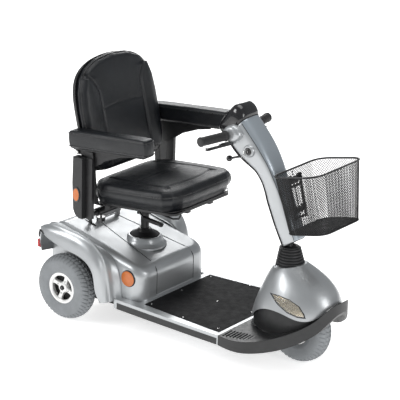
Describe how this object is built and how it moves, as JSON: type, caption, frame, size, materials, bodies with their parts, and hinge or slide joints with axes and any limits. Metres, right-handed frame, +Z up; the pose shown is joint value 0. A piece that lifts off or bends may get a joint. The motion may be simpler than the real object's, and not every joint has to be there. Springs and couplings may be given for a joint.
{
  "type": "mobility scooter",
  "caption": "Three-wheeled mobility scooter with a padded swivel armchair seat, tilting tiller with a wire basket, and low footboard.",
  "frame": {"origin": "on the floor under the middle of the machine's bounding box", "axes": "+X towards the front wheel, +Y to the rider's left, +Z up"},
  "size_m": [1.23, 0.59, 1.0086],
  "materials": {
    "silver": "metallic silver paint on moulded plastic",
    "charcoal": "fine grained dark plastic",
    "gloss_black": "glossy black plastic",
    "black_metal": "black powder coat",
    "steel": "bright steel",
    "alloy": "silver painted alloy",
    "grey_tyre": "light grey non-marking rubber",
    "black_rubber": "soft black rubber",
    "black_vinyl": "black grained vinyl",
    "amber": "amber prismatic plastic",
    "red": "red prismatic plastic",
    "clear": "clear moulded lens",
    "battery_case": "battery case plastic"
  },
  "bodies": {
    "chassis": {"main_frame": "black_metal", "floor_pan": "silver", "floor_mat": "black_rubber", "rail_trims": "charcoal", "front_bumper": "charcoal", "shroud_infill": "charcoal", "front_shroud": "silver", "headlight_lenses": "clear", "headlight_bezels": "charcoal", "rear_shroud": "silver", "battery_cover": "silver", "carry_handle": "charcoal", "side_reflectors": "amber", "tail_lights": "red", "rear_bumper": "charcoal", "batteries": "battery_case", "transaxle": "alloy", "seat_socket": "steel"},
    "rear_right_wheel": {"rear_right_tyre": "grey_tyre", "rear_right_rim": "alloy"},
    "rear_left_wheel": {"rear_left_tyre": "grey_tyre", "rear_left_rim": "alloy"},
    "steering": {"fork": "black_metal", "bellows": "black_rubber"},
    "front_wheel": {"front_tyre": "grey_tyre", "front_rim": "alloy"},
    "tiller": {"tiller_column": "black_metal", "tiller_side_shell": "silver", "tiller_front_shell": "silver", "tiller_rear_cover": "charcoal", "console": "gloss_black", "grips": "black_rubber", "key_switch": "gloss_black", "basket_bracket": "black_metal"},
    "drive_lever": {"drive_lever": "gloss_black"},
    "speed_dial": {"speed_dial": "gloss_black"},
    "horn_button": {"horn_button": "gloss_black"},
    "light_switch": {"light_switch": "gloss_black"},
    "key": {"key": "steel"},
    "tilt_lever": {"tilt_lever": "gloss_black"},
    "basket": {"basket": "black_metal"},
    "seat_post": {"seat_post": "steel"},
    "seat_swivel": {"seat_swivel": "black_metal"},
    "seat": {"seat_frame": "black_metal", "seat_cushion": "black_vinyl"},
    "seat_back": {"back_shell": "charcoal", "back_cushion": "black_vinyl"},
    "right_arm": {"right_arm_post": "black_metal", "right_arm_cover": "charcoal"},
    "left_arm": {"left_arm_post": "black_metal", "left_arm_cover": "charcoal"},
    "right_armrest": {"right_armrest_bracket": "black_metal", "right_armrest_pad": "black_vinyl"},
    "left_armrest": {"left_armrest_bracket": "black_metal", "left_armrest_pad": "black_vinyl"},
    "right_width_knob": {"right_width_knob": "gloss_black"},
    "left_width_knob": {"left_width_knob": "gloss_black"},
    "swivel_lever": {"swivel_lever": "black_metal"},
    "slide_lever": {"slide_lever": "black_metal"},
    "freewheel_lever": {"freewheel_lever": "steel"}
  },
  "joints": [
    {"name": "rear_right_wheel_spin", "type": "hinge", "parent": "chassis", "child": "rear_right_wheel", "pos_m": [-0.483, -0.253, 0.13], "axis": [0, 1, 0], "continuous": true},
    {"name": "rear_left_wheel_spin", "type": "hinge", "parent": "chassis", "child": "rear_left_wheel", "pos_m": [-0.483, 0.253, 0.13], "axis": [0, 1, 0], "continuous": true},
    {"name": "steer", "type": "hinge", "parent": "chassis", "child": "steering", "pos_m": [0.443, 0, 0.13], "axis": [-0.2419, 0, 0.9703], "range_deg": [-35, 35]},
    {"name": "front_wheel_spin", "type": "hinge", "parent": "steering", "child": "front_wheel", "pos_m": [0.435, 0, 0.13], "axis": [0, 1, 0], "continuous": true},
    {"name": "tiller_tilt", "type": "hinge", "parent": "steering", "child": "tiller", "pos_m": [0.374, 0, 0.428], "axis": [0, 1, 0], "range_deg": [-20, 15]},
    {"name": "drive_lever_pivot", "type": "hinge", "parent": "tiller", "child": "drive_lever", "pos_m": [0.14, 0, 0.796], "axis": [0, 0, 1], "range_deg": [-10, 10], "stiffness_Nm_per_rad": 1},
    {"name": "speed_dial_turn", "type": "hinge", "parent": "tiller", "child": "speed_dial", "pos_m": [0.084, 0, 0.874], "axis": [-0.8319, 0, 0.5549], "range_deg": [-135, 135]},
    {"name": "horn_press", "type": "slide", "parent": "tiller", "child": "horn_button", "axis": [0.8319, 0, -0.5549], "range_m": [0, 0.003], "stiffness_N_per_m": 300},
    {"name": "light_rocker", "type": "hinge", "parent": "tiller", "child": "light_switch", "pos_m": [0.084, -0.034, 0.874], "axis": [0, 1, 0], "range_deg": [-5, 5]},
    {"name": "key_turn", "type": "hinge", "parent": "tiller", "child": "key", "pos_m": [0.216, -0.07, 0.782], "axis": [0, 1, 0], "range_deg": [0, 90]},
    {"name": "tilt_release", "type": "hinge", "parent": "tiller", "child": "tilt_lever", "pos_m": [0.186, -0.026, 0.752], "axis": [0, 1, 0], "range_deg": [0, 10], "stiffness_Nm_per_rad": 0.6},
    {"name": "basket_lift", "type": "slide", "parent": "tiller", "child": "basket", "axis": [-0.2164, 0, 0.9763], "range_m": [0, 0.08]},
    {"name": "seat_height", "type": "slide", "parent": "chassis", "child": "seat_post", "axis": [0, 0, 1], "range_m": [0, 0.075]},
    {"name": "seat_swivel_turn", "type": "hinge", "parent": "seat_post", "child": "seat_swivel", "pos_m": [-0.306, 0, 0.418], "axis": [0, 0, 1], "range_deg": [-180, 180]},
    {"name": "seat_slide", "type": "slide", "parent": "seat_swivel", "child": "seat", "axis": [0.9954, 0, 0.0958], "range_m": [-0.03, 0.05]},
    {"name": "back_fold", "type": "hinge", "parent": "seat", "child": "seat_back", "pos_m": [-0.408, 0, 0.606], "axis": [0, 1, 0], "range_deg": [0, 95]},
    {"name": "right_arm_width", "type": "slide", "parent": "seat", "child": "right_arm", "axis": [0, -1, 0], "range_m": [0, 0.06]},
    {"name": "right_armrest_flip", "type": "hinge", "parent": "right_arm", "child": "right_armrest", "pos_m": [-0.438, -0.246, 0.684], "axis": [0, -1, 0], "range_deg": [0, 95]},
    {"name": "right_width_knob_turn", "type": "hinge", "parent": "seat", "child": "right_width_knob", "pos_m": [-0.378, -0.18, 0.411], "axis": [0, 0, 1], "continuous": true},
    {"name": "left_arm_width", "type": "slide", "parent": "seat", "child": "left_arm", "axis": [0, 1, 0], "range_m": [0, 0.06]},
    {"name": "left_armrest_flip", "type": "hinge", "parent": "left_arm", "child": "left_armrest", "pos_m": [-0.438, 0.246, 0.684], "axis": [0, -1, 0], "range_deg": [0, 95]},
    {"name": "left_width_knob_turn", "type": "hinge", "parent": "seat", "child": "left_width_knob", "pos_m": [-0.378, 0.18, 0.411], "axis": [0, 0, 1], "continuous": true},
    {"name": "swivel_release", "type": "hinge", "parent": "seat_swivel", "child": "swivel_lever", "pos_m": [-0.282, -0.066, 0.432], "axis": [0, 0, 1], "range_deg": [0, 10], "stiffness_Nm_per_rad": 1},
    {"name": "slide_release", "type": "hinge", "parent": "seat", "child": "slide_lever", "pos_m": [-0.176, -0.091, 0.46], "axis": [0, 1, 0], "range_deg": [-6, 0], "stiffness_Nm_per_rad": 1},
    {"name": "freewheel_select", "type": "hinge", "parent": "chassis", "child": "freewheel_lever", "pos_m": [-0.5, -0.096, 0.3], "axis": [0, 1, 0], "range_deg": [-18, 18]}
  ]
}
